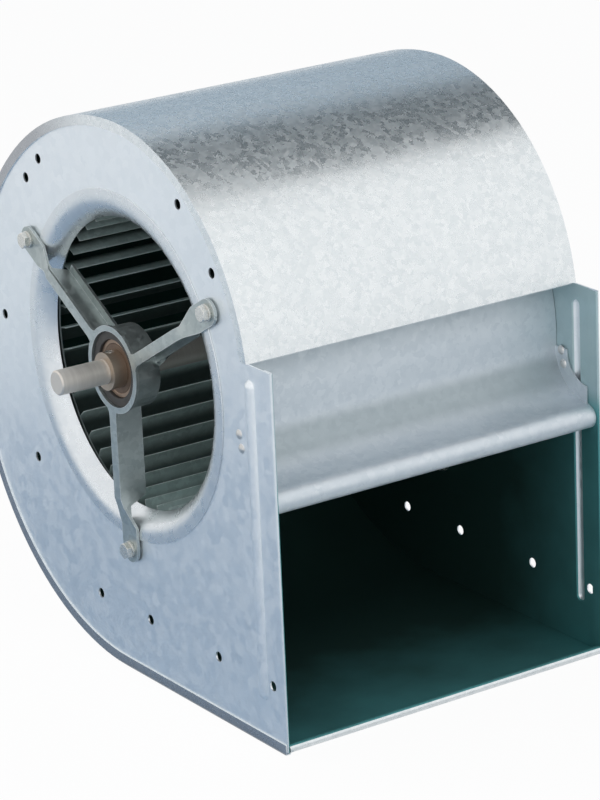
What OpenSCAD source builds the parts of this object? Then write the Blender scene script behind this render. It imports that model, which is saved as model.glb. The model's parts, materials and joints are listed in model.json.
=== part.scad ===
// Double-inlet centrifugal blower. A galvanised sheet-steel scroll surrounds a
// squirrel-cage wheel with forward-curved blades, and the shaft runs in two
// three-armed bearing brackets that stand in the inlets.
// X runs along the shaft, the outlet faces -Y, +Z is up and the base stands on Z = 0.

/* [Scroll housing] */
// Width over the outer faces of the side plates
housing_w = 262; // [250:1:330]
// Height of the shaft axis above the base
axis_h = 220; // [214:1:240]
// Height of the scroll's crown above the shaft axis
crown_h = 169; // [165:1:180]
// Distance from the shaft axis to the back of the scroll
back_reach = 203; // [198:1:212]
// Radius of the scroll's front arc
front_arc_r = 153; // [151:1:158]
// Drop of the two back arcs' centres below the shaft axis
arc_drop = 34; // [26:1:40]
// Distance of the outlet's front edge ahead of the throat beside the wheel
outlet_land = 46; // [43:1:70]
// Height of the outlet's top edge above the shaft axis
outlet_top = 39; // [32:1:46]
// Sheet thickness of the scroll wrapper
wrapper_t = 1; // [0.8:0.1:1.5]
// Width of the seam folded over each side plate
seam_w = 7; // [5:0.5:9]
// Diameter of the curled edge on the outlet floor
curl_d = 6; // [5:0.5:8]

/* [Side plates] */
// Sheet thickness of the side plates
plate_t = 1.2; // [1:0.1:1.6]
// Depth of the hem folded inside the outlet edges
hem_w = 8; // [6:0.5:10]
// Distance of the upright rib behind the plates' front edge
rib_back = 24; // [22:0.5:26]
// Width of the pressed rib
rib_w = 10; // [8:0.5:12]
// Height of the pressed rib
rib_h = 3; // [2:0.25:4]
// Height of the rib's upper end above the shaft axis
rib_top = 24; // [16:1:28]
// Depth of the rib's lower end below the shaft axis
rib_bottom = 184; // [150:1:188]
// Diameter of the punched fixing holes
fix_d = 7; // [5:0.5:8]
// Height of the foot holes above the base
foot_hole_h = 44; // [40:1:50]
// Spacing of each pair of foot holes
foot_pitch = 64; // [50:1:64]
// Land between the outlet hem and the front foot hole
foot_land = 0.5; // [0.3:0.1:0.8]
// Distance of the rear pair's centre behind the shaft axis
foot_rear = 16; // [5:1:25]
// Distance of the front hanger holes inside the scroll's front arc
hanger_inset = 16; // [13:0.5:20]
// Radius of the rear hanger holes from the shaft axis
hanger_back_r = 157; // [150:0.5:160]

/* [Inlet cones] */
// Radius of the inlet throat
throat_r = 100; // [98:0.5:103]
// Radius of the bellmouth's rounding
bell_r = 19; // [17:0.5:22]
// Depth of the bellmouth from its flange
bell_depth = 10; // [8:0.5:12]
// Width of the flat flange outside the rounding
cone_flange_w = 4; // [3:0.5:5]
// Sheet thickness of the cones
cone_t = 1; // [0.8:0.1:1.2]

/* [Cut-off plate] */
// Sheet thickness of the cut-off plate
cutoff_t = 1; // [0.8:0.1:1.2]
// Gap between the wheel's end rings and the cut-off plate
cutoff_gap = 9; // [6:0.5:11]
// Depth of the lip's crest below the shaft axis
lip_drop = 42; // [38:1:60]
// Distance of the lip's nose behind the outlet's front edge
lip_inset = 2; // [1:0.5:6]
// Length of the flat between the bend and the rolled lip
lip_flat = 2; // [1:0.5:6]
// Radius of the rolled lip
lip_r = 8; // [6:0.5:9]
// Height of the flange that lies inside the wrapper's end
cutoff_flange_h = 14; // [10:1:18]
// Width of the end flanges on the side plates
end_flange_w = 12; // [10:0.5:15]
// Angle of the upper rivet below the bend's centre
rivet_angle = 4; // [2:1:8]
// Angle between the two rivets of an end flange
rivet_step = 20; // [18:1:24]
// Shank diameter of the rivets through the end flanges
rivet_d = 4; // [3:0.1:4]

/* [Wheel] */
// Outer diameter over the blades
wheel_d = 241; // [236:1:242]
// Distance of each end ring inside its side plate's outer face
wheel_inset = 14; // [12.5:0.5:25]
// Radial depth of the blades
blade_depth = 20.5; // [18:0.5:24]
// Radius of the blades' curve
blade_curve_r = 20.5; // [20.5:0.5:28]
// Thickness of the blades
blade_t = 0.8; // [0.6:0.1:1.2]
// Number of blades in each bank
blade_n = 42; // [30:1:48]
// Thickness of the end rings
end_ring_t = 1; // [0.8:0.1:1.5]
// Length of the end rings' rolled rims
end_ring_rim = 7; // [5:0.5:10]
// Radial width of the end rings' faces
end_ring_w = 16; // [12:0.5:18]
// Gap between the blade tips and the end rings' rims
ring_gap = 0.5; // [0.3:0.1:1]
// Thickness of the centre disc
disc_t = 1.5; // [1:0.1:2.5]
// Height of the stiffening ring pressed into the disc
disc_press_h = 4; // [2:0.5:5]
// Inner radius of that ring
disc_press_r = 58; // [56:1:64]
// Width of that ring
disc_press_w = 34; // [24:1:34]

/* [Wheel hub] */
// Outer diameter of the boss
boss_d = 36; // [32:1:40]
// Length of the boss
boss_l = 50; // [40:1:60]
// Diameter of the riveted flange
hub_flange_d = 70; // [66:1:76]
// Thickness of the riveted flange
hub_flange_t = 5; // [4:0.5:6]
// Number of hub rivets
hub_rivet_n = 6; // [4:1:8]
// Shank diameter of the hub rivets
hub_rivet_d = 5; // [4:0.5:6]
// Diameter of the hub's set screws
hub_screw_d = 8; // [6:1:8]

/* [Shaft] */
// Diameter of the shaft
shaft_d = 17; // [16:0.5:18]
// Distance of each shaft end outside its side plate
shaft_out = 52; // [45:1:80]
// Chamfer of the shaft's ends
shaft_chamfer = 1; // [0.5:0.25:1.5]
// Depth of the undercuts beside the journals
undercut_depth = 0.3; // [0.2:0.05:0.5]
// Width of the undercuts beside the journals
undercut_w = 1.5; // [1:0.25:2]

/* [Bearings] */
// Outside diameter of a bearing
bearing_od = 40; // [38:1:42]
// Width of a bearing
bearing_w = 12; // [11:0.5:14]
// Wall of the raceway rings
race_wall = 3; // [2.8:0.1:3.2]
// Diameter of the balls
ball_d = 6.7; // [6.3:0.1:6.8]
// Number of balls in a bearing
ball_n = 8; // [6:1:8]
// Wall thickness of the cage
cage_t = 2.2; // [2:0.1:2.4]
// Width of the cage beside each pocket
cage_edge = 0.8; // [0.6:0.1:0.8]
// Thickness of the seals
seal_t = 0.8; // [0.6:0.1:0.8]
// Outside diameter of a locking collar
collar_od = 26; // [25:1:30]
// Length of a locking collar
collar_l = 10; // [8:0.5:12]
// Diameter of a collar's set screw
collar_screw_d = 6; // [4:1:6]

/* [Bearing brackets] */
// Width of the arms along the shaft, which is the hub cup's length too
arm_w = 20; // [18:0.5:22]
// Thickness of the brackets' sheet
arm_t = 2; // [1.5:0.25:2.5]
// Height of the arms' edge flanges
arm_flange_h = 8; // [6:0.5:10]
// Distance of the cup's rim outside the side plate
cup_out = 9; // [8:0.5:12]
// Wall thickness of the rubber rings
rubber_t = 6; // [5:0.25:7]
// Fillet where the arms meet the cup
arm_fillet = 10; // [6:1:12]
// Thickness of the lip that holds the rubber ring in the cup
cup_lip_t = 2; // [1.5:0.25:2.5]
// Gap between that lip's opening and the bearing's rim
cup_mouth_gap = 1.5; // [1:0.25:3]
// Distance inside the inlet throat where the arms' inner flanges end
arm_end_in = 8; // [6:1:12]
// Distance outside the inlet throat where the feet begin
foot_start_out = 12; // [11:1:13]
// Length over which an arm widens to its foot
foot_taper_l = 14; // [10:1:18]
// Height over which an arm's web slopes in front of the cone
web_slope = 6; // [5:1:7]
// Radius of the circle of bracket bolts
bolt_circle_r = 129; // [128.5:0.5:132]
// Width of the bracket feet
foot_w = 18; // [16:0.5:20]
// Diameter of the bracket bolts
bolt_d = 6; // [5:0.5:6]
// Length of the bracket bolts under their heads
bolt_l = 14; // [13:0.5:15]
// Thickness of the washers
washer_t = 1.6; // [1:0.1:1.6]
// Radius of the pads under the feet
pad_r = 7; // [6.5:0.25:8]

/* [Clearances] */
// Gap where one piece is pressed or clamped into another
seat_gap = 0.05; // [0.02:0.01:0.08]
// Gap round screws and rivets in their holes
hole_gap = 0.3; // [0.2:0.05:0.4]
// Gap between the shaft and the wheel hub's bore
bore_gap = 0.02; // [0.01:0.01:0.05]
// Gap between a ball and its raceways or pocket
ball_gap = 0.15; // [0.1:0.05:0.2]
// Gap between a seal's lip and the inner ring
seal_lip_gap = 0.4; // [0.2:0.1:0.5]
// Gap between flat sheets that lie side by side
sheet_gap = 0.2; // [0.1:0.05:0.3]

/* [Hidden] */
$fn = 96;

// Wheel and throat radii, which set how far the outlet stands in front
wheel_r = wheel_d / 2;
blade_in_r = wheel_r - blade_depth;
ring_r = wheel_r + ring_gap + end_ring_t;
cutoff_r = ring_r + cutoff_gap;
outlet_reach = cutoff_r + outlet_land;

// The origin is the middle of the base, so the shaft axis stands this far along Y
axis_y = (outlet_reach - back_reach) / 2;
// A span that reaches past the whole housing
far = 2 * (axis_h + back_reach);

// Scroll arcs, as centres in Y and Z from the shaft axis
back_arc_r = crown_h + arc_drop;
crown_y = back_reach - back_arc_r;
low_arc_r = axis_h - arc_drop;
low_y = back_reach - low_arc_r;
front_arc_z = crown_h - front_arc_r;
function front_arc_y(r, z) = crown_y - sqrt(pow(r, 2) - pow(z - front_arc_z, 2));

// Planes along X, measured from the middle of the housing
plate_x = housing_w / 2;
plate_in_x = plate_x - plate_t;
cone_x = plate_x + cone_t;
cone_in_x = cone_x - bell_depth;
wheel_x = plate_x - wheel_inset;
cup_x = plate_x + cup_out;
cup_in_x = cup_x - arm_w;
foot_x = cone_x + sheet_gap;
shaft_x = plate_x + shaft_out;
curl_r = curl_d / 2;
curl_w = 2 * (plate_in_x - plate_t - sheet_gap);

// Inlet cone
bell_edge_r = throat_r + sqrt(pow(bell_r, 2) - pow(bell_r - bell_depth, 2));
cone_hole_r = bell_edge_r + seat_gap;

// Hub and disc
shaft_r = shaft_d / 2;
journal_r = shaft_r + seat_gap;
boss_r = boss_d / 2;
hub_screw_x = (boss_l / 2 + disc_t / 2 + hub_flange_t) / 2;
hub_rivet_circle_r = (boss_r + hub_flange_d / 2) / 2;

// Bearing, rubber ring and cup
bearing_r = bearing_od / 2;
ball_r = ball_d / 2;
ball_circle_r = (shaft_r + bearing_r) / 2;
groove_r = ball_r + ball_gap;
cage_w = 2 * (groove_r + cage_edge);
rubber_l = arm_w - 2 * cup_lip_t;
cup_bore_r = bearing_r + rubber_t + seat_gap;
cup_r = cup_bore_r + arm_t;
bearing_x = cup_in_x + cup_lip_t + rubber_l / 2;
collar_x = bearing_x + bearing_w / 2 + seat_gap;
collar_r = collar_od / 2;
undercut_x = collar_x + collar_l + shaft_chamfer;

// Bracket arms, as angles from the outlet side over the crown
arm_angles = [30, 150, 270];
arm_inner_end_r = throat_r - arm_end_in;
foot_start_r = throat_r + foot_start_out;

// Punched holes in the side plates: the front foot hole, then the hanger holes as
// angles from the outlet side over the crown
foot_inset = plate_t + hem_w + foot_land + fix_d / 2;
hanger_front_angles = [33, 55];
hanger_back_angles = [128, 137, 180, 218];

// Cut-off plate: the bend from the throat out to the rolled lip
cutoff_x = plate_in_x - sheet_gap;
lip_y = -(outlet_reach - lip_inset - lip_r);
lip_z = -(lip_drop + lip_r);
bend_y = lip_y + lip_flat;
cutoff_bend_r = -bend_y - cutoff_r - cutoff_t;
bend_z = -(lip_drop - cutoff_bend_r);
rivet_circle_r = cutoff_bend_r - end_flange_w / 2;
rivet_angles = [-rivet_angle, -rivet_angle - rivet_step];

// Metric proportions of the bracket's fasteners
bolt_head_af = 10 / 6 * bolt_d;
bolt_head_h = 4 / 6 * bolt_d;
nut_h = 5 / 6 * bolt_d;
washer_r = bolt_d;
bolt_head_x = foot_x + arm_t + washer_t;
bolt_hole_r = bolt_d / 2 + hole_gap;
rivet_hole_r = rivet_d / 2 + hole_gap;

// Finishes
zinc = "#b7c1ca";
zinc_light = "#d5dade";
steel = "#b9b4ad";
warm_steel = "#cdbfae";
bronze = "#7a5f50";
rubber = "#2b2a2a";
blade_grey = "#5d6a6a";

// ---------- placing ----------

module at_axis() translate([0, axis_y, axis_h]) children();

// Extrudes a Y-Z outline along X, from x0 to x1
module sheet(x0, x1) {
    translate([x0, 0, 0]) rotate([90, 0, 90]) linear_extrude(x1 - x0) children();
}

// Extrudes a Y-Z outline along X, centred on the housing
module across(w) sheet(-w / 2, w / 2) children();

// Revolves an outline of [radius, x] about the shaft axis
module revolve() rotate([0, 90, 0]) rotate_extrude() children();

// A round bar along X, from x0 to x1
module bar(r, x0, x1) translate([x0, 0, 0]) rotate([0, 90, 0]) cylinder(h = x1 - x0, r = r);

// A tube along X, from x0 to x1
module tube(r_out, r_in, x0, x1) {
    revolve() translate([r_in, x0]) square([r_out - r_in, x1 - x0]);
}

// Makes the left-hand piece from the right-hand one, or both
module left() mirror([1, 0, 0]) children();
module both_sides() {
    children();
    left() children();
}

// Moves a Y-Z outline or a solid out to radius r, at an angle from the outlet side
module around_2d(r, angle) translate([-r * cos(angle), r * sin(angle)]) children();
module around(r, angle) translate([0, -r * cos(angle), r * sin(angle)]) children();

// A rivet along X that grips from x0 to x1, with a domed head on each end
module rivet(d, x0, x1) {
    head_r = 0.85 * d;
    head_h = 0.4 * d;
    dome_r = (pow(head_r, 2) + pow(head_h, 2)) / (2 * head_h);
    revolve() {
        translate([0, x0]) square([d / 2, x1 - x0]);
        intersection() {
            translate([0, x1 + head_h - dome_r]) circle(dome_r);
            translate([0, x1]) square([head_r, head_h]);
        }
        intersection() {
            translate([0, x0 - head_h + dome_r]) circle(dome_r);
            translate([0, x0 - head_h]) square([head_r, head_h]);
        }
    }
}

// ---------- scroll outline ----------

// Y-Z area inside the wrapper. Its arcs and its floor lie d further out.
module scroll_area(d = 0) {
    intersection() {
        translate([crown_y, front_arc_z]) circle(front_arc_r + d);
        translate([crown_y - far, outlet_top]) square([far, far]);
    }
    intersection() {
        translate([crown_y, -arc_drop]) circle(back_arc_r + d);
        translate([crown_y, -arc_drop]) square([far, far]);
    }
    intersection() {
        translate([low_y, -arc_drop]) circle(low_arc_r + d);
        translate([low_y, -arc_drop - far]) square([far, far]);
    }
    translate([-outlet_reach, -axis_h - d]) square([outlet_reach + low_y, axis_h + d - arc_drop]);
    translate([-outlet_reach, -arc_drop]) square([outlet_reach + crown_y, arc_drop + outlet_top]);
}

// Strip along the scroll between two depths inside its outline
module scroll_strip(outer, inner) {
    difference() {
        scroll_area(-outer);
        scroll_area(-inner);
    }
}

// ---------- housing ----------

module scroll_wrapper() {
    color(zinc) at_axis() {
        difference() {
            across(housing_w + 2 * wrapper_t) scroll_strip(0, wrapper_t);
            across(curl_w) translate([-outlet_reach, -axis_h]) square([curl_r, wrapper_t]);
        }
        both_sides() sheet(plate_x, plate_x + wrapper_t) scroll_strip(0, seam_w);
        across(curl_w) translate([curl_r - outlet_reach, curl_r - axis_h]) curl();
    }
}

// Curled edge that starts at the floor, rises round the front and turns back down
module curl() {
    difference() {
        circle(curl_r);
        circle(curl_r - wrapper_t);
        translate([0, -curl_r]) square(curl_r);
    }
}

module side_plate() {
    color(zinc_light) at_axis() difference() {
        union() {
            sheet(plate_in_x, plate_x) side_plate_outline();
            intersection() {
                rib_solid(0);
                translate([plate_in_x, -far, -far]) cube([far, 2 * far, 2 * far]);
            }
            outlet_hem();
        }
        rib_solid(-plate_t);
    }
}

module side_plate_outline() {
    difference() {
        scroll_area(-wrapper_t - sheet_gap);
        translate([-outlet_reach, -axis_h]) square([plate_t, axis_h + outlet_top]);
        circle(cone_hole_r);
        for (a = arm_angles) around_2d(bolt_circle_r, a) circle(bolt_hole_r);
        translate([crown_y, front_arc_z]) for (a = hanger_front_angles)
            around_2d(front_arc_r - hanger_inset, a) circle(d = fix_d);
        for (a = hanger_back_angles) around_2d(hanger_back_r, a) circle(d = fix_d);
        for (y = [foot_inset - outlet_reach, foot_rear - foot_pitch / 2], step = [0, foot_pitch])
            translate([y + step, foot_hole_h - axis_h]) circle(d = fix_d);
        at_cutoff_rivets() circle(rivet_hole_r);
    }
}

// The pressed rib with its round ends. d makes it thicker or thinner all over.
module rib_solid(d) {
    rib_r = (pow(rib_w / 2, 2) + pow(rib_h, 2)) / (2 * rib_h);
    translate([plate_x + rib_h - rib_r, rib_back - outlet_reach, 0]) {
        translate([0, 0, -rib_bottom]) cylinder(h = rib_bottom + rib_top, r = rib_r + d);
        for (z = [-rib_bottom, rib_top]) translate([0, 0, z]) sphere(rib_r + d);
    }
}

// Hem folded back inside the plate along the outlet's upright edge
module outlet_hem() {
    hem_h = outlet_top + axis_h - wrapper_t - sheet_gap;
    translate([plate_in_x, plate_t - outlet_reach, outlet_top - hem_h]) {
        cylinder(h = hem_h, r = plate_t);
        translate([-plate_t, 0, 0]) cube([plate_t, hem_w, hem_h]);
    }
}

module inlet_cone() {
    color(zinc_light) at_axis() revolve() difference() {
        union() {
            intersection() {
                translate([bell_edge_r, cone_x - bell_r]) circle(bell_r);
                translate([0, cone_in_x]) square([bell_edge_r, bell_depth]);
            }
            translate([bell_edge_r, plate_x]) square([cone_flange_w, cone_t]);
        }
        translate([bell_edge_r, cone_x - bell_r]) circle(bell_r - cone_t);
    }
}

module cutoff_plate() {
    color(zinc) at_axis() difference() {
        union() {
            across(2 * cutoff_x) cutoff_outline();
            both_sides() sheet(cutoff_x - cutoff_t, cutoff_x) cutoff_end_flange();
        }
        both_sides() sheet(plate_in_x - plate_t - sheet_gap, plate_x) cutoff_hem_notch();
        both_sides() sheet(0, plate_x) at_cutoff_rivets() circle(rivet_hole_r);
    }
}

// From the wrapper's end: flange, ledge, throat arc, bend and rolled lip
module cutoff_outline() {
    flange_r = front_arc_r - wrapper_t - sheet_gap;
    intersection() {
        translate([crown_y, front_arc_z]) ring_area(flange_r, flange_r - cutoff_t);
        translate([crown_y - far, outlet_top - cutoff_t]) square([far, cutoff_flange_h + cutoff_t]);
    }
    ledge_y = front_arc_y(flange_r - cutoff_t / 2, outlet_top);
    ledge_end_y = -sqrt(pow(cutoff_r + cutoff_t / 2, 2) - pow(outlet_top, 2));
    translate([ledge_y, outlet_top - cutoff_t]) square([ledge_end_y - ledge_y, cutoff_t]);
    intersection() {
        ring_area(cutoff_r + cutoff_t, cutoff_r);
        translate([-far, 0]) square([far, outlet_top]);
    }
    translate([-cutoff_r - cutoff_t, bend_z]) square([cutoff_t, -bend_z]);
    intersection() {
        translate([bend_y, bend_z]) ring_area(cutoff_bend_r + cutoff_t, cutoff_bend_r);
        bend_quarter();
    }
    translate([lip_y, -lip_drop - cutoff_t]) square([bend_y - lip_y, cutoff_t]);
    intersection() {
        translate([lip_y, lip_z]) ring_area(lip_r, lip_r - cutoff_t);
        translate([lip_y - far, lip_z - far]) square([far, 2 * far]);
    }
}

module ring_area(r_out, r_in) {
    difference() {
        circle(r_out);
        circle(r_in);
    }
}

// The quarter below and behind the bend's centre
module bend_quarter() translate([bend_y, bend_z - far]) square(far);

// End flange turned up inside the bend, flat on the side plate
module cutoff_end_flange() {
    intersection() {
        translate([bend_y, bend_z])
            ring_area(cutoff_bend_r + cutoff_t / 2, cutoff_bend_r - end_flange_w);
        bend_quarter();
    }
}

// Clears the side plates' hems, from the outlet edge back
module cutoff_hem_notch() {
    translate([-outlet_reach, -axis_h]) square([plate_t + hem_w + sheet_gap, axis_h + outlet_top]);
}

module at_cutoff_rivets() {
    for (a = rivet_angles)
        translate([bend_y + rivet_circle_r * cos(a), bend_z + rivet_circle_r * sin(a)]) children();
}

module cutoff_rivets() {
    color(steel) at_axis() both_sides()
        for (a = rivet_angles)
            translate([0, bend_y + rivet_circle_r * cos(a), bend_z + rivet_circle_r * sin(a)])
                rivet(rivet_d, cutoff_x - cutoff_t, plate_x);
}

// ---------- bearing brackets ----------

module bearing_bracket() {
    color(zinc) at_axis() difference() {
        union() {
            bar(cup_r, cup_in_x, cup_x);
            bar(cup_r + arm_t, cup_x - arm_t, cup_x);
            for (a = arm_angles) rotate([180 - a, 0, 0]) bracket_arm();
        }
        bar(cup_bore_r, cup_in_x + cup_lip_t, cup_x + far);
        bar(bearing_r + cup_mouth_gap, cup_in_x - far, cup_x);
        for (a = arm_angles) around(bolt_circle_r, a) bar(bolt_hole_r, 0, far);
    }
}

// One channel arm, drawn along +Y with its open side towards +Z. Its outer
// flange runs on over the cone as the foot.
module bracket_arm() {
    arm_slab(-arm_t / 2, arm_t) arm_web();
    intersection() {
        arm_slab(-foot_w, 2 * foot_w) arm_outer_flange();
        sheet(0, far) arm_flange_plan();
    }
    arm_slab(-arm_t / 2, arm_flange_h)
        translate([cup_in_x, cup_bore_r]) square([arm_t, arm_inner_end_r - cup_bore_r]);
    translate([0, bolt_circle_r, 0]) bar(pad_r, plate_x, foot_x + arm_t / 2);
}

module arm_slab(z, h) translate([0, 0, z]) linear_extrude(h) children();

// The web narrows to the foot so that it clears the cone
module arm_web() {
    polygon([
        [cup_in_x, cup_bore_r], [cup_x, cup_bore_r], [cup_x, arm_inner_end_r],
        [foot_x + arm_t, foot_start_r], [foot_x, foot_start_r],
        [foot_x, arm_inner_end_r + web_slope], [cup_in_x, arm_inner_end_r]
    ]);
}

module arm_outer_flange() {
    polygon([
        [cup_x - arm_t, cup_bore_r], [cup_x, cup_bore_r], [cup_x, arm_inner_end_r],
        [foot_x + arm_t, foot_start_r], [foot_x + arm_t, bolt_circle_r + foot_w],
        [foot_x, bolt_circle_r + foot_w], [foot_x, foot_start_r], [cup_x - arm_t, arm_inner_end_r]
    ]);
}

// Outer flange seen along the shaft: flared at the cup, widened to the round foot.
// The flare dies into the cup's rim.
module arm_flange_plan() {
    low = -arm_t / 2;
    high = arm_flange_h - arm_t / 2;
    flare_r = sqrt(pow(cup_r + arm_t, 2) - pow(high + arm_fillet, 2));
    translate([flare_r, low]) square([foot_start_r - flare_r, high - low]);
    difference() {
        translate([flare_r, low - arm_fillet])
            square([arm_fillet, high - low + 2 * arm_fillet]);
        for (z = [low - arm_fillet, high + arm_fillet])
            translate([flare_r + arm_fillet, z]) circle(arm_fillet);
    }
    polygon([
        [foot_start_r - foot_taper_l, low], [foot_start_r, -foot_w / 2],
        [bolt_circle_r, -foot_w / 2], [bolt_circle_r, foot_w / 2],
        [foot_start_r, foot_w / 2], [foot_start_r - foot_taper_l, high]
    ]);
    translate([bolt_circle_r, 0]) circle(foot_w / 2);
}

module bracket_bolts() {
    color(steel) at_axis() for (a = arm_angles) around(bolt_circle_r, a) {
        bar(bolt_d / 2, bolt_head_x - bolt_l, bolt_head_x);
        translate([bolt_head_x, 0, 0]) rotate([0, 90, 0]) hexagon(bolt_head_af, bolt_head_h);
    }
}

module hexagon(af, h) cylinder(h = h, d = af / cos(30), $fn = 6);

module bracket_washers() {
    color(steel) at_axis() for (a = arm_angles) around(bolt_circle_r, a)
        tube(washer_r, bolt_hole_r, bolt_head_x - washer_t, bolt_head_x);
}

module bracket_nuts() {
    color(steel) at_axis() for (a = arm_angles) around(bolt_circle_r, a) difference() {
        translate([plate_in_x - nut_h, 0, 0]) rotate([0, 90, 0]) hexagon(bolt_head_af, nut_h);
        bar(bolt_d / 2 + seat_gap, 0, far);
    }
}

module rubber_ring() {
    color(rubber) at_axis() tube(
        cup_bore_r - seat_gap, bearing_r + seat_gap, bearing_x - rubber_l / 2, bearing_x + rubber_l / 2
    );
}

// ---------- bearings ----------

// A raceway ring of the bearing with its ball groove
module race(r_out, r_in) {
    revolve() difference() {
        translate([r_in, bearing_x - bearing_w / 2]) square([r_out - r_in, bearing_w]);
        translate([ball_circle_r, bearing_x]) circle(groove_r);
    }
}

module bearing_outer_ring() color(bronze) at_axis() race(bearing_r, bearing_r - race_wall);

module bearing_inner_ring() color(bronze) at_axis() race(shaft_r + race_wall, journal_r);

module bearing_seals() {
    color(bronze) at_axis() for (side = [-1, 1])
        translate([bearing_x + side * (bearing_w - seal_t) / 2 - seal_t / 2, 0, 0])
            tube(bearing_r - race_wall - seat_gap, shaft_r + race_wall + seal_lip_gap, 0, seal_t);
}

module bearing_balls() {
    color(steel) at_axis() for (i = [0 : ball_n - 1]) around(ball_circle_r, i * 360 / ball_n)
        translate([bearing_x, 0, 0]) sphere(ball_r);
}

// Cage ring between the raceways, with a round pocket for each ball
module bearing_cage() {
    color(steel) at_axis() difference() {
        tube(
            ball_circle_r + cage_t / 2, ball_circle_r - cage_t / 2,
            bearing_x - cage_w / 2, bearing_x + cage_w / 2
        );
        for (i = [0 : ball_n - 1]) rotate([90 - i * 360 / ball_n, 0, 0])
            translate([bearing_x, 0, ball_circle_r - cage_t]) cylinder(h = 2 * cage_t, r = groove_r);
    }
}

module locking_collar() {
    color(warm_steel) at_axis() difference() {
        tube(collar_r, journal_r, collar_x, collar_x + collar_l);
        translate([collar_x + collar_l / 2, 0, 0]) cylinder(h = far, r = collar_screw_d / 2 + seat_gap);
    }
}

module collar_screw() {
    color(steel) at_axis() translate([collar_x + collar_l / 2, 0, 0])
        set_screw(collar_screw_d, journal_r, collar_r - journal_r);
}

// Set screw standing on the shaft along +Z, with its hexagon socket
module set_screw(d, z, l) {
    difference() {
        translate([0, 0, z]) cylinder(h = l, d = d);
        translate([0, 0, z + l / 2]) hexagon(d / 2, l);
    }
}

// ---------- shaft and wheel ----------

module shaft() {
    color(warm_steel) at_axis() difference() {
        bar(shaft_r, -shaft_x, shaft_x);
        both_sides() {
            revolve() polygon([
                [shaft_r - shaft_chamfer, shaft_x], [shaft_r + shaft_chamfer, shaft_x],
                [shaft_r + shaft_chamfer, shaft_x - 2 * shaft_chamfer]
            ]);
            tube(shaft_r + undercut_depth, shaft_r - undercut_depth, undercut_x, undercut_x + undercut_w);
        }
    }
}

// Centre disc with a stiffening ring pressed out of it
module wheel_disc() {
    color(zinc) at_axis() difference() {
        revolve() polygon(concat(disc_face(disc_t / 2, 1), disc_face(-disc_t / 2, -1)));
        at_hub_rivets() bar(hub_rivet_d / 2 + seat_gap, -far, far);
    }
}

// One face of the disc as [radius, x], from the boss out to the rim or back
function disc_face(x, dir) = let (
    press_out = disc_press_r + disc_press_w,
    r = [boss_r + seat_gap, disc_press_r, disc_press_r + disc_press_h,
         press_out - disc_press_h, press_out, wheel_r],
    lift = [0, 0, disc_press_h, disc_press_h, 0, 0],
    order = dir > 0 ? [0 : 5] : [5 : -1 : 0]
) [for (i = order) [r[i], x + lift[i]]];

module at_hub_rivets() {
    for (i = [0 : hub_rivet_n - 1]) around(hub_rivet_circle_r, i * 360 / hub_rivet_n) children();
}

module wheel_hub() {
    color(steel) at_axis() difference() {
        union() {
            bar(boss_r, -boss_l / 2, boss_l / 2);
            bar(hub_flange_d / 2, disc_t / 2, disc_t / 2 + hub_flange_t);
        }
        bar(shaft_r + bore_gap, -far, far);
        at_hub_rivets() bar(hub_rivet_d / 2 + seat_gap, -far, far);
        for (side = [-1, 1]) translate([side * hub_screw_x, 0, 0])
            cylinder(h = far, r = hub_screw_d / 2 + seat_gap);
    }
}

module hub_rivets() {
    color(steel) at_axis() at_hub_rivets()
        rivet(hub_rivet_d, -disc_t / 2, disc_t / 2 + hub_flange_t);
}

module hub_screws() {
    color(steel) at_axis() for (side = [-1, 1]) translate([side * hub_screw_x, 0, 0])
        set_screw(hub_screw_d, shaft_r + seat_gap, boss_r - shaft_r - seat_gap);
}

// Cross-section of one blade: a circular arc that leaves the inner radius
// square to it and leans forward, into the turning direction, at the rim
module blade_profile() {
    lean = atan(blade_curve_r / blade_in_r);
    intersection() {
        ring_area(wheel_r, blade_in_r);
        translate([blade_in_r, -blade_curve_r])
            ring_area(blade_curve_r + blade_t / 2, blade_curve_r - blade_t / 2);
        polygon([[0, 0], far * [cos(lean), -sin(lean)], far * [cos(lean), sin(lean)]]);
    }
}

module blades() {
    color(blade_grey) at_axis() sheet(disc_t / 2, wheel_x - end_ring_t)
        for (i = [0 : blade_n - 1]) rotate(i * 360 / blade_n) blade_profile();
}

// End ring: a flat face on the blades' ends and a rim rolled over their tips
module end_ring() {
    color(zinc) at_axis() {
        tube(ring_r, ring_r - end_ring_w, wheel_x - end_ring_t, wheel_x);
        tube(ring_r, ring_r - end_ring_t, wheel_x - end_ring_rim, wheel_x);
    }
}

// ---------- nodes ----------

scroll_wrapper();
cutoff_plate();
cutoff_rivets();
shaft();
wheel_disc();
wheel_hub();
hub_rivets();
hub_screws();
left() side_plate();  // side_plate_left
side_plate();  // side_plate_right
left() inlet_cone();  // inlet_cone_left
inlet_cone();  // inlet_cone_right
left() bearing_bracket();  // bearing_bracket_left
bearing_bracket();  // bearing_bracket_right
left() bracket_bolts();  // bracket_bolts_left
bracket_bolts();  // bracket_bolts_right
left() bracket_washers();  // bracket_washers_left
bracket_washers();  // bracket_washers_right
left() bracket_nuts();  // bracket_nuts_left
bracket_nuts();  // bracket_nuts_right
left() rubber_ring();  // rubber_ring_left
rubber_ring();  // rubber_ring_right
left() bearing_outer_ring();  // bearing_outer_ring_left
bearing_outer_ring();  // bearing_outer_ring_right
left() bearing_seals();  // bearing_seals_left
bearing_seals();  // bearing_seals_right
left() bearing_inner_ring();  // bearing_inner_ring_left
bearing_inner_ring();  // bearing_inner_ring_right
left() bearing_balls();  // bearing_balls_left
bearing_balls();  // bearing_balls_right
left() bearing_cage();  // bearing_cage_left
bearing_cage();  // bearing_cage_right
left() locking_collar();  // locking_collar_left
locking_collar();  // locking_collar_right
left() collar_screw();  // collar_screw_left
collar_screw();  // collar_screw_right
left() blades();  // blades_left
blades();  // blades_right
left() end_ring();  // end_ring_left
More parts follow.
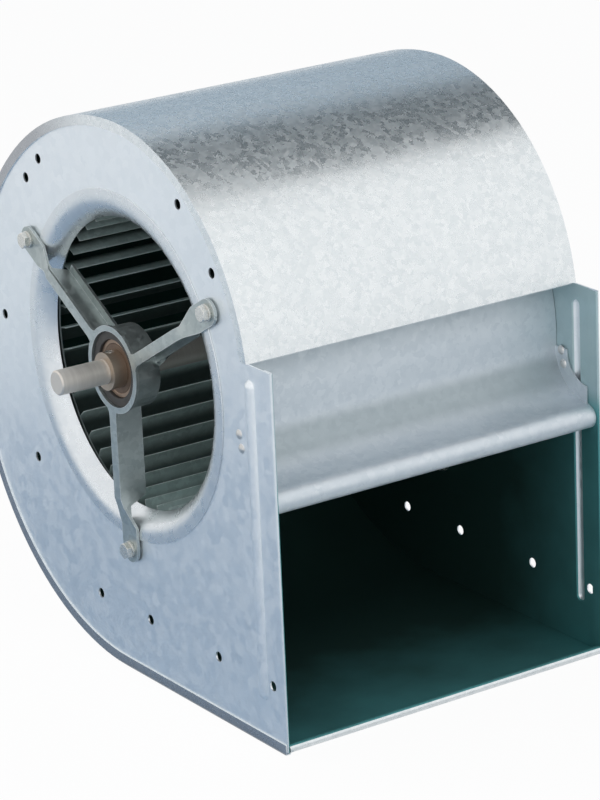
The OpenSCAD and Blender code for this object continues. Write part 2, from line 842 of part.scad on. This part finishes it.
end_ring();  // end_ring_right
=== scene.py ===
"""Double-inlet centrifugal blower: the finished look of each piece on the CAD frame."""

import json
import math

import bpy
from mathutils import Matrix, Vector

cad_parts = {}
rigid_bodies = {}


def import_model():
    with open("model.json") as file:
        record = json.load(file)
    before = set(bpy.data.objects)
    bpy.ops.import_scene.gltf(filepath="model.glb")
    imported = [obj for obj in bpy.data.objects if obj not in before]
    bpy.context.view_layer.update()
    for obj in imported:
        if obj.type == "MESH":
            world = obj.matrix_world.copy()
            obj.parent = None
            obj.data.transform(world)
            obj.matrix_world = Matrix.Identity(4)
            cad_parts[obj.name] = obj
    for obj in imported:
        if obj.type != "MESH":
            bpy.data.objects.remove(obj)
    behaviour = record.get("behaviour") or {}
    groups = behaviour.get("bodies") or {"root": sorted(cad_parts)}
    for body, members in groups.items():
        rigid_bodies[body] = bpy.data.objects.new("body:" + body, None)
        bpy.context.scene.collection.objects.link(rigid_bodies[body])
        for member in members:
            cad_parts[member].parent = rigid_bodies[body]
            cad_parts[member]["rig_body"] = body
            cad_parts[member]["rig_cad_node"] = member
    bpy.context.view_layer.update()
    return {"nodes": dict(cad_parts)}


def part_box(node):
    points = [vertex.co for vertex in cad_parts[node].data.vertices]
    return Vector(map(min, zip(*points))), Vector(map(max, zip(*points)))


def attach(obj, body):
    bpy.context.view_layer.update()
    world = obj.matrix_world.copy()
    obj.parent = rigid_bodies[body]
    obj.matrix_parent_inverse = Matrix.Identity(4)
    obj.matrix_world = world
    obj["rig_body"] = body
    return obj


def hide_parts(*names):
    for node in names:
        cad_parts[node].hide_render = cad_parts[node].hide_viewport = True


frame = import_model()


# ---------------------------------------------------------------- studio
# The blower stands on a plain pale floor in a white room, between three soft boxes.
# Cards that show only in the metal give its curve and its flat sides a shaded part.

shaft_low, shaft_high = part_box("shaft")
axis = (shaft_low + shaft_high) / 2
camera_turn, camera_height, camera_roll = -33.6, 18.7, -2.5
camera_shift = Vector((0.009, -0.050, 2.484))
lens_mm = 163.8
sky_in_metal = 0.98
floor_in_metal = 0.45
floor_glow = 0.955
back_gap = 0.035

bpy.ops.object.select_all(action="DESELECT")
bpy.ops.object.camera_add()
camera = bpy.context.object
camera.name = "camera"
camera.data.sensor_fit = "VERTICAL"
camera.data.sensor_height = 36.0
camera.data.lens = lens_mm
camera.data.clip_end = 20.0
turn = (
    Matrix.Rotation(math.radians(camera_turn), 4, "Z")
    @ Matrix.Rotation(math.radians(90 - camera_height), 4, "X")
    @ Matrix.Rotation(math.radians(camera_roll), 4, "Z")
)
camera.matrix_world = Matrix.Translation(axis + turn @ camera_shift) @ turn
bpy.context.scene.camera = camera
bpy.context.scene.view_settings.view_transform = "Standard"


def feed(tree, node, feeds):
    """Leads a socket, a plain value or a plain colour into each of a node's inputs."""
    for key, source in feeds.items():
        socket = node.inputs[key]
        if isinstance(source, bpy.types.NodeSocket):
            tree.links.new(source, socket)
        elif socket.type == "RGBA":
            socket.default_value = (*source, 1)
        else:
            socket.default_value = source


def add(tree, kind, feeds=None, **settings):
    """A shader node with its settings and what feeds it."""
    node = tree.nodes.new(kind)
    for key, value in settings.items():
        setattr(node, key, value)
    feed(tree, node, feeds or {})
    return node


def maths(tree, operation, *terms, clamp=False):
    """A sum on sockets and numbers."""
    node = add(tree, "ShaderNodeMath", dict(enumerate(terms)), operation=operation, use_clamp=clamp)
    return node.outputs["Value"]


def background_mask(tree, mirrored):
    """1 for rays that see the background, and a share of it for rays that see it in metal."""
    path = add(tree, "ShaderNodeLightPath").outputs
    in_metal = maths(tree, "MULTIPLY", path["Is Glossy Ray"], mirrored)
    seen = maths(tree, "MAXIMUM", path["Is Camera Ray"], in_metal)
    return maths(tree, "MAXIMUM", seen, path["Is Transmission Ray"])


world = bpy.data.worlds.new("studio")
bpy.context.scene.world = world
world.use_nodes = True
sky = world.node_tree
sky.nodes.clear()
room = add(sky, "ShaderNodeBackground", {"Color": (0.80, 0.88, 0.96), "Strength": 0.45}).outputs[0]
white = add(sky, "ShaderNodeBackground", {"Color": (1, 1, 1), "Strength": 1.0}).outputs[0]
pick = add(sky, "ShaderNodeMixShader", {"Fac": background_mask(sky, sky_in_metal), 1: room, 2: white})
add(sky, "ShaderNodeOutputWorld", {"Surface": pick.outputs[0]})

bpy.ops.mesh.primitive_plane_add(size=6, location=(0, 0, -0.0005))
floor = bpy.context.object
floor.name = "floor"
paper = bpy.data.materials.new("pale_paper")
paper.use_nodes = True
tree = paper.node_tree
tree.nodes.clear()
matte = add(tree, "ShaderNodeBsdfDiffuse", {"Color": (0.86, 0.86, 0.86)}).outputs[0]
glow = add(tree, "ShaderNodeEmission", {"Strength": 1.0}).outputs[0]
share = maths(tree, "MULTIPLY", background_mask(tree, floor_in_metal), floor_glow)
blend = add(tree, "ShaderNodeMixShader", {"Fac": share, 1: matte, 2: glow})
add(tree, "ShaderNodeOutputMaterial", {"Surface": blend.outputs[0]})
floor.data.materials.append(paper)


def felt_card(name, place, size, facing, colour):
    """A felt card that only mirrored rays see."""
    bpy.ops.object.select_all(action="DESELECT")
    bpy.ops.mesh.primitive_plane_add(size=1, location=place)
    card = bpy.context.object
    card.name = name
    card.scale = (*size, 1)
    card.rotation_euler = Vector(facing).to_track_quat("Z", "Y").to_euler()
    card.visible_camera = card.visible_shadow = card.visible_diffuse = False
    felt = bpy.data.materials.new(name + "_felt")
    felt.use_nodes = True
    cloth = felt.node_tree.nodes["Principled BSDF"]
    feed(felt.node_tree, cloth, {"Base Color": colour, "Roughness": 1.0})
    card.data.materials.append(felt)


def soft_box(name, place, size, watts):
    """A soft box turned to the blower, with a black back that keeps the sky out of its reflection."""
    toward = axis - Vector(place)
    bpy.ops.object.light_add(type="AREA", location=place)
    lamp = bpy.context.object
    lamp.name = name
    lamp.data.shape = "RECTANGLE"
    lamp.data.size, lamp.data.size_y = size
    lamp.data.energy = watts
    lamp.rotation_euler = toward.to_track_quat("-Z", "Y").to_euler()
    behind = Vector(place) - back_gap * toward.normalized()
    felt_card(name + "_back", behind, size, toward, (0.02, 0.02, 0.02))


soft_box("front_box", (-0.9, -1.9, 1.35), (3.7, 2.6), 31)
soft_box("left_box", (-1.2, 0.7, 1.05), (2.2, 1.7), 11)
soft_box("right_box", (2.2, -0.6, 0.9), (1.1, 1.1), 3)
felt_card("crown_card", (0.85, 1.05, 0.95), (1.7, 1.2), (-0.6, -0.75, -0.3), (0.48, 0.57, 0.65))
felt_card("upper_card", (1.06, 0.40, 1.55), (1.25, 1.25), (-0.58, -0.25, -0.75), (0.09, 0.11, 0.12))
felt_card("left_floor_card", (-0.40, 0.08, 0.0008), (0.54, 0.9), (0, 0, 1), (0.33, 0.43, 0.55))
felt_card("outer_floor_card", (-0.60, 0.30, 0.0004), (0.95, 1.5), (0, 0, 1), (0.80, 0.83, 0.85))
felt_card("front_floor_card", (0.25, -0.62, 0.0004), (1.3, 0.75), (0, 0, 1), (0.66, 0.71, 0.74))


# ----------------------------------------------------------- side plates
# Two flat plates of galvanised steel sheet, cut to the scroll, punched, and hemmed
# along the outlet. The upright rib is pressed into them from inside. Their edges
# are seamed to the wrapper.

def ramp(tree, value, start, end, low=0.0, high=1.0, kind="SMOOTHSTEP"):
    """Maps a value between start and end to the span from low to high."""
    feeds = {"Value": value, "From Min": start, "From Max": end, "To Min": low, "To Max": high}
    return add(tree, "ShaderNodeMapRange", feeds, interpolation_type=kind).outputs["Result"]


def mixed(tree, kind, factor, first, second):
    """Mixes two colours (RGBA) or two numbers (FLOAT)."""
    feeds = {"Factor": factor, "A": first, "B": second}
    return add(tree, "ShaderNodeMix", feeds, data_type=kind).outputs["Result"]


def vector_maths(tree, operation, *terms):
    """A sum on vectors, which gives a vector, or a number for a dot product or a length."""
    node = add(tree, "ShaderNodeVectorMath", dict(enumerate(terms)), operation=operation)
    return node.outputs["Value" if operation in ("DOT_PRODUCT", "LENGTH") else "Vector"]


def parts_of(tree, vector):
    """The X, Y and Z of a vector."""
    return add(tree, "ShaderNodeSeparateXYZ", {"Vector": vector}).outputs


def place_on(tree):
    """The place of each point of a piece."""
    return add(tree, "ShaderNodeTexCoord").outputs["Object"]


def new_group(name, inputs, outputs):
    """A shader node group with float, colour or vector sockets, and what its inputs give inside."""
    group = bpy.data.node_groups.new(name, "ShaderNodeTree")
    kinds = {"f": "NodeSocketFloat", "c": "NodeSocketColor", "v": "NodeSocketVector"}
    for label, kind, start in inputs:
        socket = group.interface.new_socket(label, in_out="INPUT", socket_type=kinds[kind])
        socket.default_value = start
    for label, kind in outputs:
        group.interface.new_socket(label, in_out="OUTPUT", socket_type=kinds[kind])
    return group, add(group, "NodeGroupInput").outputs


# Zinc crystals: each has its own brightness and gloss, with feathered borders, and
# the whole coat clouds slowly over the sheet.
feathering = 0.004
ripple_in_relief = 0.3
spangle, given = new_group(
    "zinc_spangle",
    [("Light", "c", (0.8, 0.83, 0.86, 1)), ("Dark", "c", (0.6, 0.65, 0.69, 1)),
     ("Crystals per metre", "f", 160.0), ("Clouding", "f", 0.35),
     ("Smoothest", "f", 0.28), ("Roughest", "f", 0.46)],
    [("Colour", "c"), ("Roughness", "f"), ("Height", "f")],
)
place = place_on(spangle)
ripple = add(spangle, "ShaderNodeTexNoise", {"Vector": place, "Scale": 230, "Detail": 3})
feather = add(
    spangle, "ShaderNodeMix", {"Factor": feathering, "A": place, "B": ripple.outputs["Color"]},
    data_type="RGBA", blend_type="LINEAR_LIGHT",
)
crystals = add(
    spangle, "ShaderNodeTexVoronoi",
    {"Vector": feather.outputs["Result"], "Scale": given["Crystals per metre"], "Randomness": 1.0},
    feature="F1",
)
split = add(spangle, "ShaderNodeSeparateColor", {"Color": crystals.outputs["Color"]}).outputs
clouds = add(spangle, "ShaderNodeTexNoise", {"Vector": place, "Scale": 9, "Detail": 4})
shade = mixed(spangle, "FLOAT", given["Clouding"], split["Red"], clouds.outputs["Fac"])
add(spangle, "NodeGroupOutput", {
    "Colour": mixed(spangle, "RGBA", shade, given["Dark"], given["Light"]),
    "Roughness": ramp(spangle, split["Green"], 0, 1, given["Smoothest"], given["Roughest"], kind="LINEAR"),
    "Height": mixed(spangle, "FLOAT", ripple_in_relief, split["Blue"], ripple.outputs["Fac"]),
})

# Bare bright metal where handling has rubbed an edge
edges, given = new_group(
    "rubbed_edges", [("Width", "f", 0.0006), ("Patchiness", "f", 0.5)], [("Mask", "f")]
)
soft = add(edges, "ShaderNodeBevel", {"Radius": given["Width"]}, samples=6)
plain = add(edges, "ShaderNodeNewGeometry")
agree = vector_maths(edges, "DOT_PRODUCT", soft.outputs["Normal"], plain.outputs["Normal"])
near_edge = ramp(edges, agree, 0.995, 0.90, kind="LINEAR")
patches = add(edges, "ShaderNodeTexNoise", {"Vector": place_on(edges), "Scale": 60})
gate = ramp(edges, patches.outputs["Fac"], 0.35, 0.65, kind="LINEAR")
rubbed = mixed(edges, "FLOAT", given["Patchiness"], 1.0, gate)
add(edges, "NodeGroupOutput", {"Mask": maths(edges, "MULTIPLY", near_edge, rubbed)})

# Painted shade on the inner faces between the seams, with a duller roughness: half strength
# high up, full from a set height down and further back. The painted shade is palest just inside
# the outlet. Heights and depths are taken from the shaft.
seam_t, hair = 0.001, 0.0001
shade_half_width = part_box("scroll_wrapper")[1].x - seam_t - hair
faces_inward = -0.012
shade_starts, shade_full = -0.028, -0.048
mouth_ends, scroll_starts = -0.112, -0.09
palest, darkest = -0.16, -0.02
shade_group, given = new_group(
    "inside_painted_shade",
    [("Axis", "v", (0, 0, 0)), ("Directions", "v", (1, 1, 1)), ("Half width", "f", shade_half_width),
     ("Mouth", "c", (0.13, 0.42, 0.44, 1)), ("Depth", "c", (0.05, 0.12, 0.108, 1))],
    [("Mask", "f"), ("Colour", "c")],
)
place = place_on(shade_group)
facing = add(shade_group, "ShaderNodeNewGeometry")
from_axis = vector_maths(shade_group, "SUBTRACT", place, given["Axis"])
along = vector_maths(shade_group, "MULTIPLY", from_axis, given["Directions"])
inward = vector_maths(shade_group, "DOT_PRODUCT", along, facing.outputs["True Normal"])
turned = maths(shade_group, "LESS_THAN", inward, faces_inward)
part = parts_of(shade_group, from_axis)
below = ramp(shade_group, part["Z"], shade_starts, shade_full, low=0.5)
back = ramp(shade_group, part["Y"], mouth_ends, scroll_starts)
within = maths(shade_group, "LESS_THAN", maths(shade_group, "ABSOLUTE", part["X"]), given["Half width"])
inner = maths(shade_group, "MULTIPLY", turned, within)
blotches = add(shade_group, "ShaderNodeTexNoise", {"Vector": place, "Scale": 14, "Detail": 4})
darker_deeper = ramp(shade_group, part["Y"], palest, darkest, low=-0.25, high=0.75, kind="LINEAR")
deep = maths(shade_group, "ADD", darker_deeper, blotches.outputs["Fac"], clamp=True)
add(shade_group, "NodeGroupOutput", {
    "Mask": maths(shade_group, "MULTIPLY", inner, maths(shade_group, "MAXIMUM", below, back)),
    "Colour": mixed(shade_group, "RGBA", deep, given["Mouth"], given["Depth"]),
})


relief_depth = 0.0002
bright_edge = (0.90, 0.91, 0.92)
inside_roughness = 0.62


def raised(tree, height, strength):
    """The normal of a surface with a fine relief."""
    feeds = {"Strength": strength, "Distance": relief_depth, "Height": height}
    return add(tree, "ShaderNodeBump", feeds).outputs["Normal"]


def galvanised(
    name, light, dark, crystals=160.0, clouding=0.35, gloss=(0.28, 0.46), metal=0.9, bump=0.2, inside=None
):
    """Zinc-coated steel with its spangle, its rubbed edges and, where asked, painted shade inside."""
    mat = bpy.data.materials.new(name)
    mat.use_nodes = True
    tree = mat.node_tree
    coat = add(
        tree, "ShaderNodeGroup",
        {"Light": light, "Dark": dark, "Crystals per metre": crystals, "Clouding": clouding,
         "Smoothest": gloss[0], "Roughest": gloss[1]},
        node_tree=spangle,
    )
    wear = add(tree, "ShaderNodeGroup", node_tree=edges)
    colour = mixed(tree, "RGBA", wear.outputs["Mask"], coat.outputs["Colour"], bright_edge)
    rough = coat.outputs["Roughness"]
    if inside:
        # painted shade on the inner faces, with a duller roughness
        inner_shade = add(tree, "ShaderNodeGroup", {"Axis": axis, "Directions": inside}, node_tree=shade_group)
        colour = mixed(tree, "RGBA", inner_shade.outputs["Mask"], colour, inner_shade.outputs["Colour"])
        rough = mixed(tree, "FLOAT", inner_shade.outputs["Mask"], rough, inside_roughness)
    feed(tree, tree.nodes["Principled BSDF"], {
        "Metallic": metal,
        "Base Color": colour,
        "Roughness": rough,
        "Normal": raised(tree, coat.outputs["Height"], bump),
    })
    return mat


def dressed(piece, node, body, mat, edge=0.0, steps=2):
    """Rounds a piece's sharp edges, gives it its material and puts it on its body."""
    bpy.ops.object.select_all(action="DESELECT")
    piece.select_set(True)
    bpy.context.view_layer.objects.active = piece
    if edge:
        bevel = piece.modifiers.new("rounded", "BEVEL")
        bevel.width = edge
        bevel.segments = steps
        bevel.limit_method = "ANGLE"
        bevel.angle_limit = math.radians(40)
        bpy.ops.object.modifier_apply(modifier="rounded")
    bpy.ops.object.shade_smooth_by_angle(angle=math.radians(35))
    flat = piece.modifiers.new("flat_faces", "WEIGHTED_NORMAL")
    flat.keep_sharp = True
    flat.weight = 80
    bpy.ops.object.modifier_apply(modifier="flat_faces")
    piece.data.materials.clear()
    piece.data.materials.append(mat)
    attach(piece, body)
    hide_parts(node)


def finished(node, body, mat, edge=0.0, steps=2):
    """A copy of the CAD node with its faces joined up, dressed in its place."""
    bpy.ops.object.select_all(action="DESELECT")
    source = frame["nodes"][node]
    source.select_set(True)
    bpy.context.view_layer.objects.active = source
    bpy.ops.object.duplicate()
    piece = bpy.context.object
    piece.name = node + "_finished"
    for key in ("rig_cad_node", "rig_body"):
        if key in piece:
            del piece[key]
    piece.parent = None
    bpy.ops.object.mode_set(mode="EDIT")
    bpy.ops.mesh.select_all(action="SELECT")
    bpy.ops.mesh.remove_doubles(threshold=0.00001)
    bpy.ops.mesh.dissolve_limited(angle_limit=math.radians(0.4))
    bpy.ops.object.mode_set(mode="OBJECT")
    dressed(piece, node, body, mat, edge, steps)


plate_zinc = galvanised(
    "plate_zinc", (0.90, 0.94, 0.97), (0.80, 0.85, 0.89), clouding=0.55, gloss=(0.34, 0.50), inside=(1, 0, 0)
)
for side in ("left", "right"):
    finished("side_plate_" + side, "housing", plate_zinc, edge=0.0003)


# -------------------------------------------------------- scroll wrapper
# One strip of galvanised sheet, rolled to the scroll and run out flat as the outlet's
# floor. Its long edges are folded over the side plates and its floor edge is curled.

wrapper_zinc = galvanised(
    "wrapper_zinc", (0.88, 0.91, 0.92), (0.72, 0.77, 0.79), crystals=280, clouding=0.35,
    gloss=(0.22, 0.36), bump=0.25, inside=(0, 1, 1),
)


def toned(tree, mask, tone):
    """Mixes a tone into a material's colour where the mask says."""
    skin = tree.nodes["Principled BSDF"]
    bare = skin.inputs["Base Color"].links[0].from_socket
    feed(tree, skin, {"Base Color": mixed(tree, "RGBA", mask, bare, tone)})


# The seams' flat faces get a painted shade, darkest round the back and along the bottom
tree = wrapper_zinc.node_tree
facing = add(tree, "ShaderNodeNewGeometry")
sideways = maths(tree, "ABSOLUTE", parts_of(tree, facing.outputs["Normal"])["X"])
rolled = ramp(tree, sideways, 0.55, 0.9, kind="LINEAR")
backward = Vector((0, 0.8, -0.6))
round_back = vector_maths(tree, "DOT_PRODUCT", place_on(tree), backward)
shaft_reach = backward.dot(axis)
shade_round_back = ramp(tree, round_back, shaft_reach - 0.09, shaft_reach + 0.01)
toned(tree, maths(tree, "MULTIPLY", rolled, shade_round_back), (0.44, 0.45, 0.47))
finished("scroll_wrapper", "housing", wrapper_zinc, edge=0.00045, steps=3)


# ----------------------------------------------------------- inlet cones
# Spun sheet rings that guide the air into the wheel. Each is clamped by its flat rim
# against the outside of its side plate.

cone_zinc = galvanised(
    "cone_zinc", (0.80, 0.83, 0.85), (0.72, 0.76, 0.79), clouding=0.5, gloss=(0.24, 0.36)
)
for side in ("left", "right"):
    finished("inlet_cone_" + side, "housing", cone_zinc, edge=0.0002)


# --------------------------------------------------------- cut-off plate
# A folded sheet that closes the gap between the wheel and the outlet. It starts
# behind the wrapper's end, follows the wheel, bends forward and ends in a rolled lip.
# Domed rivets hold its end flanges to the side plates.

cutoff_zinc = galvanised(
    "cutoff_zinc", (0.74, 0.79, 0.83), (0.63, 0.69, 0.74), crystals=240, gloss=(0.46, 0.60)
)

# Painted shade half way down the bend behind the lip
lip_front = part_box("cutoff_plate")[0].y
tree = cutoff_zinc.node_tree
facing = add(tree, "ShaderNodeNewGeometry")
upward = parts_of(tree, facing.outputs["Normal"])["Z"]
above = ramp(tree, upward, 0.03, 0.35)
below = ramp(tree, upward, 0.92, 0.62)
bend_shade = maths(tree, "MULTIPLY", above, below)
behind = ramp(tree, parts_of(tree, place_on(tree))["Y"], lip_front + 0.010, lip_front + 0.017)
toned(tree, maths(tree, "MULTIPLY", bend_shade, behind), (0.42, 0.48, 0.51))
finished("cutoff_plate", "housing", cutoff_zinc, edge=0.0003)

rivet_steel = galvanised(
    "rivet_steel", (0.74, 0.74, 0.73), (0.56, 0.56, 0.55), crystals=600, gloss=(0.3, 0.45)
)
finished("cutoff_rivets", "housing", rivet_steel, edge=0.0001)


# ------------------------------------------------------ bearing brackets
# Three-armed pressings of galvanised steel. Each holds its bearing in a rolled cup at
# the middle, and its channel arms reach over the inlet cone to bolts in the side plate.

bracket_zinc = galvanised(
    "bracket_zinc", (0.52, 0.57, 0.56), (0.38, 0.43, 0.43), crystals=240, gloss=(0.3, 0.5)
)
for side in ("left", "right"):
    finished("bearing_bracket_" + side, "housing", bracket_zinc, edge=0.0004, steps=3)


# ------------------------------------------- bracket bolts, washers, nuts
# Zinc-plated M6 hexagon screws hold each bracket's three feet. Their heads and washers
# lie outside, and their nuts inside the side plate.

plated = galvanised("plated_steel", (0.80, 0.79, 0.74), (0.64, 0.63, 0.60), crystals=900, gloss=(0.2, 0.36))
bolt_r = 0.003
hexagon_width = 0.010
head_height = 0.004
nut_height = 0.005
thread_pitch = 0.001
thread_root = 0.84
plain_shank = 0.005
face_circle = 0.95
turn_at_each = 37
bolt_circle_r = 0.129
arm_angles = (30, 150, 270)


def cut_by(piece, tool, operation):
    """Applies a boolean cut and throws the tool away."""
    cut = piece.modifiers.new("cut", "BOOLEAN")
    cut.operation = operation
    cut.solver = "EXACT"
    cut.object = tool
    bpy.ops.object.select_all(action="DESELECT")
    bpy.context.view_layer.objects.active = piece
    piece.select_set(True)
    bpy.ops.object.modifier_apply(modifier="cut")
    bpy.data.objects.remove(tool)


def hexagon(width, height, both_ends):
    """A hexagon on +Z with its corners turned off at 30 degrees, on top or at both ends."""
    bpy.ops.object.select_all(action="DESELECT")
    bpy.ops.mesh.primitive_cylinder_add(
        vertices=6, radius=width / 2 / math.cos(math.radians(30)), depth=height, location=(0, 0, height / 2)
    )
    piece = bpy.context.object
    bpy.ops.object.transform_apply(location=True, rotation=True, scale=True)
    face_r = face_circle * width / 2
    wide_r = face_r + height / math.tan(math.radians(30))
    for ends in ((wide_r, face_r), (face_r, wide_r))[: 2 if both_ends else 1]:
        bpy.ops.object.select_all(action="DESELECT")
        bpy.ops.mesh.primitive_cone_add(
            vertices=48, radius1=ends[0], radius2=ends[1], depth=height, location=(0, 0, height / 2)
        )
        cut_by(piece, bpy.context.object, "INTERSECT")
    return piece


def threaded_rod(radius, length, plain):
    """A rod down from Z = 0, plain for a while and then threaded to its chamfered end."""
    bpy.ops.object.select_all(action="DESELECT")
    bpy.ops.mesh.primitive_cylinder_add(vertices=24, radius=radius, depth=plain, location=(0, 0, -plain / 2))
    rod = bpy.context.object
    bpy.ops.object.transform_apply(location=True, rotation=True, scale=True)
    end = min(rod.data.polygons, key=lambda face: face.center.z)
    for face in rod.data.polygons:
        face.select = face.index == end.index
    turns = int((length - plain) / thread_pitch)
    bpy.ops.object.mode_set(mode="EDIT")
    bpy.ops.mesh.select_mode(type="FACE")
    for _ in range(turns):
        for share in (thread_root, 1 / thread_root):
            bpy.ops.mesh.extrude_region_move(
                TRANSFORM_OT_translate={"value": (0, 0, -thread_pitch / 2)}
            )
            bpy.ops.transform.resize(value=(share, share, 1))
    bpy.ops.mesh.extrude_region_move(
        TRANSFORM_OT_translate={"value": (0, 0, plain + turns * thread_pitch - length)}
    )
    bpy.ops.transform.resize(value=(thread_root, thread_root, 1))
    bpy.ops.object.mode_set(mode="OBJECT")
    return rod


def as_one(pieces, name):
    """Joins pieces into one mesh and turns its faces outwards."""
    bpy.ops.object.select_all(action="DESELECT")
    for piece in pieces:
        piece.select_set(True)
    bpy.context.view_layer.objects.active = pieces[0]
    bpy.ops.object.join()
    piece = bpy.context.object
    piece.name = name
    bpy.ops.object.mode_set(mode="EDIT")
    bpy.ops.mesh.select_all(action="SELECT")
    bpy.ops.mesh.normals_make_consistent(inside=False)
    bpy.ops.object.mode_set(mode="OBJECT")
    return piece


def set_round_circle(model, name, x, side, spin=0):
    """Copies of a model that stands on +Z, turned along the shaft and set at the three feet."""
    copies = []
    for angle in arm_angles:
        bpy.ops.object.select_all(action="DESELECT")
        model.select_set(True)
        bpy.context.view_layer.objects.active = model
        bpy.ops.object.duplicate()
        copy = bpy.context.object
        away = math.radians(angle)
        foot_y = axis.y - bolt_circle_r * math.cos(away)
        foot_z = axis.z + bolt_circle_r * math.sin(away)
        copy.matrix_world = (
            Matrix.Translation((x, foot_y, foot_z))
            @ Matrix.Rotation(math.radians(90 * side), 4, "Y")
            @ Matrix.Rotation(math.radians(spin + turn_at_each * angle), 4, "Z")
        )
        bpy.ops.object.transform_apply(location=True, rotation=True, scale=True)
        copies.append(copy)
    return as_one(copies, name)


head = hexagon(hexagon_width, head_height, False)
bolt_low, bolt_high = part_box("bracket_bolts_right")
shank_length = bolt_high.x - bolt_low.x - head_height
screw = as_one([head, threaded_rod(bolt_r, shank_length, plain_shank)], "screw_model")
nut = hexagon(hexagon_width, nut_height, True)
bpy.ops.object.select_all(action="DESELECT")
bpy.ops.mesh.primitive_cylinder_add(vertices=24, radius=bolt_r, depth=4 * nut_height)
cut_by(nut, bpy.context.object, "DIFFERENCE")
for side, out_x in (("left", -1), ("right", 1)):
    heads = max(abs(corner.x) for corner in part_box("bracket_bolts_" + side)) - head_height
    plate = min(abs(corner.x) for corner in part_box("bracket_nuts_" + side))
    screws = set_round_circle(screw, "hexagon_screws_" + side, out_x * heads, out_x)
    nuts = set_round_circle(nut, "hexagon_nuts_" + side, out_x * plate, out_x, spin=20)
    dressed(screws, "bracket_bolts_" + side, "housing", plated, edge=0.00012)
    dressed(nuts, "bracket_nuts_" + side, "housing", plated, edge=0.00012)
    finished("bracket_washers_" + side, "housing", plated, edge=0.0002)
bpy.data.objects.remove(screw)
bpy.data.objects.remove(nut)


# ---------------------------------------------------------- rubber rings
# Moulded rubber rings, pushed between each bearing and the cup of its bracket. They let
# the bearing line itself up and keep its noise out of the sheet.

def plain_material(name, light, dark, grain, rough, metal=0.0, bump=0.2, stretch=(1, 1, 1)):
    """Two tones of one substance mixed by a grain, with the same grain in its relief."""
    mat = bpy.data.materials.new(name)
    mat.use_nodes = True
    tree = mat.node_tree
    place = add(tree, "ShaderNodeMapping", {"Vector": place_on(tree), "Scale": stretch})
    noise = add(tree, "ShaderNodeTexNoise", {"Vector": place.outputs["Vector"], "Scale": grain, "Detail": 5})
    speck = noise.outputs["Fac"]
    feed(tree, tree.nodes["Principled BSDF"], {
        "Metallic": metal,
        "Base Color": mixed(tree, "RGBA", speck, dark, light),
        "Roughness": ramp(tree, speck, 0, 1, rough[0], rough[1], kind="LINEAR"),
        "Normal": raised(tree, speck, bump),
    })
    return mat


rubber = plain_material("black_rubber", (0.09, 0.085, 0.08), (0.02, 0.02, 0.02), 220, (0.55, 0.85))
for side in ("left", "right"):
    finished("rubber_ring_" + side, "housing", rubber, edge=0.0006, steps=3)


# ------------------------------------------------------------- bearings
# Sealed deep-groove ball bearings of chromium steel, browned by oil. The outer rings
# and seals stand still, and the inner rings turn with the shaft. The balls run between
# them in a cage.

race_steel = plain_material(
    "browned_steel", (0.52, 0.38, 0.28), (0.23, 0.15, 0.105), 160, (0.28, 0.5), metal=0.85
)
seal_steel = plain_material("oily_seal", (0.24, 0.17, 0.12), (0.10, 0.06, 0.04), 160, (0.4, 0.6), metal=0.6)
ball_steel = plain_material(
    "ball_steel", (0.82, 0.82, 0.83), (0.70, 0.70, 0.71), 500, (0.1, 0.2), metal=1.0, bump=0.02
)
for side in ("left", "right"):
    finished("bearing_outer_ring_" + side, "housing", race_steel, edge=0.0005, steps=3)
    finished("bearing_inner_ring_" + side, "rotor", race_steel, edge=0.0003)
    finished("bearing_seals_" + side, "housing", seal_steel, edge=0.0002)
    finished("bearing_balls_" + side, "cage_" + side, ball_steel)
    finished("bearing_cage_" + side, "cage_" + side, ball_steel, edge=0.0002)


# -------------------------------------------------- shaft and its collars
# A ground steel shaft runs right through. A turned collar with a set screw clamps it
# to each bearing's inner ring.

shaft_steel = plain_material(
    "ground_shaft", (0.77, 0.73, 0.68), (0.56, 0.52, 0.47), 40, (0.30, 0.46),
    metal=0.78, bump=0.05, stretch=(12, 1, 1),
)
collar_steel = plain_material(
    "oiled_collar", (0.56, 0.47, 0.38), (0.34, 0.27, 0.21), 70, (0.26, 0.42), metal=0.85
)
finished("shaft", "rotor", shaft_steel, edge=0.0001)
for side in ("left", "right"):
    finished("locking_collar_" + side, "rotor", collar_steel, edge=0.0005, steps=3)
    finished("collar_screw_" + side, "rotor", plated, edge=0.0001)


# ----------------------------------------------------------------- wheel
# A steel disc carries the hub at its middle and a bank of curved blades on each side.
# An end ring ties the tips of each bank.

wheel_zinc = galvanised(
    "wheel_zinc", (0.52, 0.58, 0.58), (0.34, 0.40, 0.40), crystals=200, gloss=(0.35, 0.55)
)
blade_zinc = galvanised(
    "blade_zinc", (0.78, 0.93, 0.90), (0.56, 0.68, 0.66), crystals=220, gloss=(0.35, 0.55), metal=0.5
)

# Dust and painted shade lie deep between the blades and leave their inner edges clean
blade_inner_r = 0.100
tree = blade_zinc.node_tree
across = vector_maths(tree, "MULTIPLY_ADD", place_on(tree), (0, 1, 1), (0, -axis.y, -axis.z))
reach = vector_maths(tree, "LENGTH", across)
dust_and_shade = ramp(tree, reach, blade_inner_r + 0.0035, blade_inner_r + 0.014, high=0.88)
toned(tree, dust_and_shade, (0.035, 0.06, 0.055))
finished("wheel_disc", "rotor", wheel_zinc, edge=0.0003)
finished("wheel_hub", "rotor", wheel_zinc, edge=0.0006, steps=3)
finished("hub_rivets", "rotor", rivet_steel, edge=0.0001)
finished("hub_screws", "rotor", plated, edge=0.0002)
for side in ("left", "right"):
    finished("blades_" + side, "rotor", blade_zinc, edge=0.0001, steps=1)
    finished("end_ring_" + side, "rotor", wheel_zinc, edge=0.0002)
